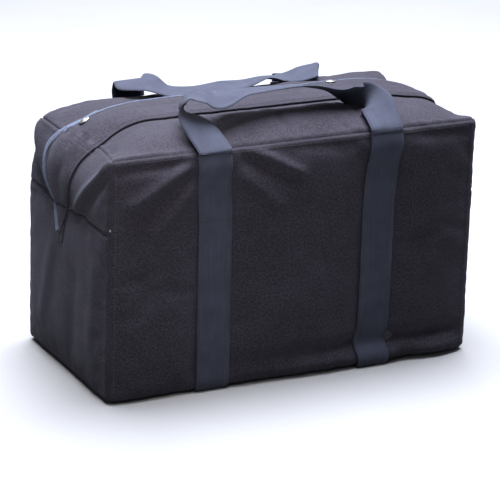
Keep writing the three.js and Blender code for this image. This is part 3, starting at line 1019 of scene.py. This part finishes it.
def zip_height(x):
    """Height of the zip's middle line: level where the lids are straight, falling towards the ends."""
    level = (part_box("front_zip_teeth")[0].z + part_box("front_zip_teeth")[1].z) / 2
    p, _ = on_skin((x, 0, 0.6), (0, 0, -1))
    middle, _ = on_skin((0.1, 0, 0.6), (0, 0, -1))
    share = smooth((abs(x) - OPEN_X) / 0.06)
    return level * (1 - share) + (level + p[2] - middle[2]) * share


def zip_fastener():
    reach = LID_X + 0.035
    for hand, x_side in HANDS:
        for end, y_side in ENDS:
            verts, faces = [], []
            for i in range(int(reach / TOOTH)):
                x = x_side * (i + (0.25 if y_side < 0 else 0.75)) * TOOTH
                z = zip_height(x)
                tooth(verts, faces, x, y_side, z)
            row = mesh_object(f"{end}_teeth_{hand}", verts, faces, TEETH)
            mouth(row)
            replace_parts(row, f"{end}_zip_teeth")
            line = [(x_side * x, y_side * 0.0118, zip_height(x_side * x)) for x in np.linspace(0, reach, 70)]
            across = np.tile([0, 1.0, 0], (len(line), 1))
            tape = ribbon(f"{end}_tape_{hand}", line, across, 0.0175, 0.0009, TAPE_CLOTH, 8)
            mouth(tape)
            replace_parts(tape, f"{end}_zip_tape", f"{hand}_zip_corner")


def tooth(verts, faces, x, y_side, z):
    """One moulded tooth: a foot on the tape and a narrower head reaching to the middle line."""
    base = len(verts)
    for y, half_x, half_z in ((0.0046, 0.0008, 0.0013), (0.0022, 0.0008, 0.0015), (0.0006, 0.0005, 0.0010)):
        for sx, sz in ((-1, -1), (1, -1), (1, 1), (-1, 1)):
            verts.append((x + sx * half_x, y_side * y, z + sz * half_z))
    for ring in (0, 4):
        for k in range(4):
            m = (k + 1) % 4
            quad = (base + ring + k, base + ring + m, base + ring + 4 + m, base + ring + 4 + k)
            faces.append(quad if y_side < 0 else quad[::-1])
    ends = [(base + 3, base + 2, base + 1, base), (base + 8, base + 9, base + 10, base + 11)]
    faces.extend(ends if y_side < 0 else [e[::-1] for e in ends])


def zip_tails():
    """Beyond the top, the zip's tape runs down each end wall beside the flap's free edge, to a stop tab."""
    for hand, side in HANDS:
        spots = [flap_ray(side * s, lambda z: flap_line(z, 3))
                 for s in np.linspace(CORNER_X - 0.010, FLAP_END - 0.004, 60)]
        points, normals = spots_of(spots, 0.0046)
        points = settle(points, 3)
        across = unit(np.cross(np.gradient(points, axis=0), normals))
        tape = ribbon(f"{hand}_zip_tail_tape", points, across, 0.0110, 0.0018, TAPE_CLOTH, 6)
        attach(tape, ROOT)
        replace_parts(tape, f"{hand}_zip_tail")
        low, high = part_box(f"{hand}_zip_stop_tab")
        spots = [on_skin((side * 0.6, 0.005, z), (-side, 0, 0))
                 for z in np.linspace(low.z, high.z + 0.004, 14)]
        line, _ = spots_of(spots, 0.0010)
        across = np.tile([0, 1.0, 0], (len(line), 1))
        tab = ribbon(f"{hand}_stop_tab", line, across, 0.020, 0.0016, CANVAS_CLOTH, 8)
        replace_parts(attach(tab, ROOT), f"{hand}_zip_stop_tab")


zip_fastener()
zip_tails()


def flap_binding():
    """Pale tape that binds the flap's free edge."""
    for hand, side in HANDS:
        for part, (low, high) in (("middle", (0.0, OPEN_X)), ("end", (OPEN_X, CORNER_X + 0.05))):
            spots = [flap_point(side * s, 1.0, flap_lift(side * s, 1.0) + 0.0014)
                     for s in stations([low, high], 0.006)]
            points, normals = spots_of(spots, 0.0)
            way = np.gradient(np.array(points), axis=0)
            out = unit(np.cross(way, normals)) * side
            line, across = np.array(points) + out * 0.0002, out + np.array(normals) * 0.2
            tape = ribbon(f"flap_{hand}_{part}_binding", line, across, 0.0048, 0.0040, TAPE_CLOTH, 6)
            flap_part(tape, part)


flap_binding()


# ---- Snaps --------------------
def lathe(name, profile, place, normal, material, turns=40):
    """A turned piece standing on a surface point along its normal. profile is (radius, height) pairs."""
    spin = Vector((0, 0, 1)).rotation_difference(Vector(normal)).to_matrix()
    verts, faces = [], []
    for r, h in profile:
        for k in range(turns):
            a = 2 * math.pi * k / turns
            verts.append(spin @ Vector((r * math.cos(a), r * math.sin(a), h)) + Vector(place))
    for i in range(len(profile) - 1):
        for k in range(turns):
            m = (k + 1) % turns
            faces.append((i * turns + k, i * turns + m, (i + 1) * turns + m, (i + 1) * turns + k))
    faces.append(tuple(range(turns))[::-1])
    faces.append(tuple((len(profile) - 1) * turns + k for k in range(turns)))
    return mesh_object(name, verts, faces, material)


CAP = [(0.0081, 0.0), (0.0086, 0.0003), (0.0086, 0.0009), (0.0080, 0.0015), (0.0066, 0.0019),
       (0.0060, 0.0016), (0.0048, 0.0022), (0.0030, 0.0027), (0.0010, 0.0029)]
STUD = [(0.0056, 0.0), (0.0058, 0.0005), (0.0050, 0.0009), (0.0027, 0.0010), (0.0025, 0.0020),
        (0.0030, 0.0026), (0.0026, 0.0031), (0.0008, 0.0032)]


def snaps():
    for which in ("left", "middle", "right"):
        low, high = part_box(f"snap_cap_{which}")
        x, y = (low.x + high.x) / 2, (low.y + high.y) / 2
        share = (y - FLAP_ROOT_Y) / (FLAP_EDGE_Y - FLAP_ROOT_Y)
        p, n = flap_point(x, share, flap_lift(x, share) + 0.0030)
        around = [flap_point(x + dx, share + dt, flap_lift(x + dx, share + dt))[0]
                  for dx, dt in ((0.006, 0), (-0.006, 0), (0, 0.06), (0, -0.06))]
        n = unit(np.cross(around[0] - around[1], around[2] - around[3]))
        cap = lathe(f"snap_{which}_cap", CAP, p, n, NICKEL)
        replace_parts(cap, f"snap_cap_{which}")
        p, n = on_skin((x, y, 0.6), (0, 0, -1))
        stud = lathe(f"snap_{which}_stud", STUD, p, n, NICKEL)
        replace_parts(stud, f"snap_stud_{which}")
        mouth(stud)
        flap_part(cap, "end" if abs(x) > OPEN_X else "middle")


snaps()


# ---- Seams --------------------
def topstitch():
    """Stitch rows beside the sewn edges of the walls and ends."""
    runs = []
    for x_side in (-1, 1):
        for y_side in (-1, 1):
            runs.append(wall_line(x_side * (HALF_X - 0.0095), y_side, 0.02, TOP - 0.012, 0.0002))
        for dz in (-0.007, 0.007):
            spots = [on_skin((x_side * 0.6, y, END_SEAM_Z + dz), (-x_side, 0, 0))
                     for y in np.linspace(-HALF_Y + 0.012, HALF_Y - 0.012, 120)]
            runs.append(spots_of(spots, 0.0002))
    for y_side in (-1, 1):
        spots = [on_skin((x, y_side * 0.6, TOP - 0.0095), (0, -y_side, 0))
                 for x in np.linspace(-HALF_X + 0.012, HALF_X - 0.012, 200)]
        runs.append(spots_of(spots, 0.0002))
    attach(stitches("wall_topstitching", runs), ROOT)


topstitch()


def bar_tacks():
    """Pale bar tacks where the end seam meets the flap's root and the front upright seam."""
    for hand, side in HANDS:
        runs = []
        for y, z in ((flap_line(0.264, 1) - 0.002, 0.264), (-HALF_Y + 0.0035, 0.270)):
            spots = [on_skin((side * 0.6, y + dy, z), (-side, 0, 0))
                     for dy in np.linspace(-0.0022, 0.0022, 5)]
            for rise in (0.0, 0.0012, 0.0024):
                points, normals = spots_of(spots, 0.0008)
                runs.append((np.array(points) + (0, 0, rise), normals))
        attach(stitches(f"{hand}_bar_tacks", runs, TACK, 0.0040, 0.001, 0.0007), ROOT)


bar_tacks()


# ---- Inside: pads and board --------------------
def tuck(point):
    """Foam gives way where the canvas above it rolls over."""
    if point[2] < 0.25:
        return point
    x, y, z = point
    roof, _ = on_skin((x, y, 0.6), (0, 0, -1))
    return np.array([x, y, min(z, roof[2] - 0.012 + 0.35 * min(0.0, z - 0.366))])


def pad(node, tufts):
    """A foam pad in a cloth cover: a slab with soft edges, pressed in along its quilting lines."""
    low, high = (np.array(v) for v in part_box(node))
    size = high - low
    thin = int(np.argmin(size))
    u, v = [a for a in range(3) if a != thin]
    half = size / 2
    centre = (low + high) / 2
    step = 0.012
    us, vs = np.array(stations([-half[u], half[u]], step)), np.array(stations([-half[v], half[v]], step))
    verts, uvs, faces = [], [], []
    inset = 0.0012                                       # the cover's own thickness
    for sign in (-1, 1):
        for a in us:
            for b in vs:
                border = min(half[u] - abs(a), half[v] - abs(b))
                swell = math.sqrt(min(1.0, max(border, 0.0) / 0.012)) if border < 0.012 else 1.0
                lines = [abs(a - half[u] * (2 * i / tufts[0] - 1)) for i in range(1, tufts[0])]
                lines += [abs(b - half[v] * (2 * i / tufts[1] - 1)) for i in range(1, tufts[1])]
                groove = 0.35 * math.exp(-(min(lines) / 0.009) ** 2)
                height = (half[thin] - inset) * (0.25 + 0.75 * swell) * (1 - groove)
                p = [0, 0, 0]
                p[u], p[v], p[thin] = a * (1 - inset / half[u]), b * (1 - inset / half[v]), sign * height
                verts.append(tuck(centre + p))
                uvs.append((a, b))
    nu, nv = len(us), len(vs)
    layer = nu * nv
    flip = thin == 1
    for sign in (0, 1):
        for i in range(nu - 1):
            for j in range(nv - 1):
                q = [i * nv + j, (i + 1) * nv + j, (i + 1) * nv + j + 1, i * nv + j + 1]
                q = [k + sign * layer for k in q]
                faces.append(q if (sign == 1) != flip else q[::-1])
    border = [i * nv for i in range(nu)] + [(nu - 1) * nv + j for j in range(1, nv)]
    border += [i * nv + nv - 1 for i in range(nu - 2, -1, -1)] + [j for j in range(nv - 2, 0, -1)]
    for a, b in zip(border, border[1:] + border[:1]):
        q = (a, b, b + layer, a + layer)
        faces.append(q if not flip else q[::-1])
    obj = mesh_object(node.replace("foam", "quilted"), verts, faces, PAD_CLOTH, uvs)
    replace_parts(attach(obj, ROOT), node)


for pad_node, tufts in (("base_foam_pad", (5, 3)), ("front_foam_pad", (5, 3)), ("rear_foam_pad", (5, 3)),
                        ("left_foam_pad", (3, 3)), ("right_foam_pad", (3, 3))):
    pad(pad_node, tufts)


def board():
    """The base board, its corners cut round to stay inside the soft corners of the canvas."""
    low, high = (np.array(v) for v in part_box("base_board"))
    inset, radius = 0.004, 0.016
    outline = []
    corners = ((high[0], high[1]), (low[0], high[1]), (low[0], low[1]), (high[0], low[1]))
    for turn, (x, y) in enumerate(corners):
        middle = (x - math.copysign(inset + radius, x), y - math.copysign(inset + radius, y))
        for step in range(9):
            angle = (turn + step / 8) * math.pi / 2
            outline.append((middle[0] + radius * math.cos(angle), middle[1] + radius * math.sin(angle)))
    count = len(outline)
    verts = [(x, y, z) for z in (low[2], high[2]) for x, y in outline]
    faces = [tuple(range(count))[::-1], tuple(range(count, 2 * count))]
    faces += [(k, (k + 1) % count, count + (k + 1) % count, count + k) for k in range(count)]
    obj = mesh_object("hardboard_base", verts, faces, BOARD)
    obj.data.polygons.foreach_set("use_smooth", [False] * len(obj.data.polygons))
    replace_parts(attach(obj, ROOT), "base_board")


board()


def finish_nodes():
    """Materials of the CAD nodes that stay: the sliders and pulls."""
    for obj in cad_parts.values():
        if obj.hide_render:
            continue
        obj.data.materials.clear()
        obj.data.materials.append(NICKEL)


finish_nodes()


# ---- Floor, light and camera --------------------
def floor():
    """A pale sweep, level under the case and rising far behind it."""
    profile = [(-6.0, 0.0), (4.2, 0.0), (5.2, 0.16), (5.9, 0.62), (6.3, 1.4), (6.4, 6.0)]
    line = catmull([(0, y, z) for y, z in profile], 8)
    verts = [(x, y, max(z, 0.0)) for x in (-9.0, 9.0) for _, y, z in line]
    n = len(line)
    faces = [(i, i + n, i + n + 1, i + 1) for i in range(n - 1)]
    material = plain_material("paper", (0.196, 0.196, 0.194), (0.204, 0.204, 0.202), 3.0, 0.9, 0.02)
    mesh_object("floor", verts, faces, material)


def light(kind, name, place, target, power, color, **values):
    """A light at a place, pointed at a target."""
    data = bpy.data.lights.new(name, kind)
    data.energy = power
    data.color = color
    for key, value in values.items():
        setattr(data, key, value)
    obj = link(data)
    obj.location = place
    obj.rotation_euler = (Vector(target) - Vector(place)).to_track_quat("-Z", "Y").to_euler()


def studio():
    floor()
    world = bpy.data.worlds.new("studio")
    bpy.context.scene.world = world
    world.use_nodes = True
    background = world.node_tree.nodes["Background"]
    background.inputs[0].default_value = (0.86, 0.91, 1.0, 1)
    background.inputs[1].default_value = 0.20
    light("AREA", "overhead", (0.40, 0.56, 3.7), (0.36, 0.54, 0.0), 1020, (0.86, 0.89, 1.0),
          shape="RECTANGLE", size=2.6, size_y=3.2)
    light("AREA", "rear_fill", (-0.15, 1.00, 1.40), (-0.10, 0.0, 0.38), 16, (0.84, 0.88, 1.0),
          shape="RECTANGLE", size=0.7, size_y=0.5)
    light("SPOT", "front_fill", (-0.62, -1.15, 1.28), (-0.27, -0.15, 0.36), 75, (1.0, 0.93, 0.93),
          spot_size=math.radians(32), spot_blend=1.0, shadow_soft_size=0.18)


CAMERA_PLACE = (-1.7596, -3.4393, 1.4882)
CAMERA_TURN = (27.108, 19.036, 1.759)                    # degrees: yaw from +Y, pitch down, roll
CAMERA_LENS = 190.03


def camera():
    """The camera stands front left and looks down at the case, with a slight roll."""
    yaw, pitch, roll = (math.radians(a) for a in CAMERA_TURN)
    view = Vector((math.sin(yaw) * math.cos(pitch), math.cos(yaw) * math.cos(pitch), -math.sin(pitch)))
    right = view.cross(Vector((0, 0, 1))).normalized()
    up = right.cross(view)
    cam_x = right * math.cos(roll) + up * math.sin(roll)
    cam_y = up * math.cos(roll) - right * math.sin(roll)
    data = bpy.data.cameras.new("camera")
    data.lens = CAMERA_LENS
    data.sensor_width = 36.0
    data.clip_end = 60
    obj = link(data)
    turn = Matrix((cam_x, cam_y, -view)).transposed().to_4x4()
    obj.matrix_world = Matrix.Translation(CAMERA_PLACE) @ turn
    bpy.context.scene.camera = obj


studio()
camera()
bpy.context.scene.view_settings.view_transform = "Standard"
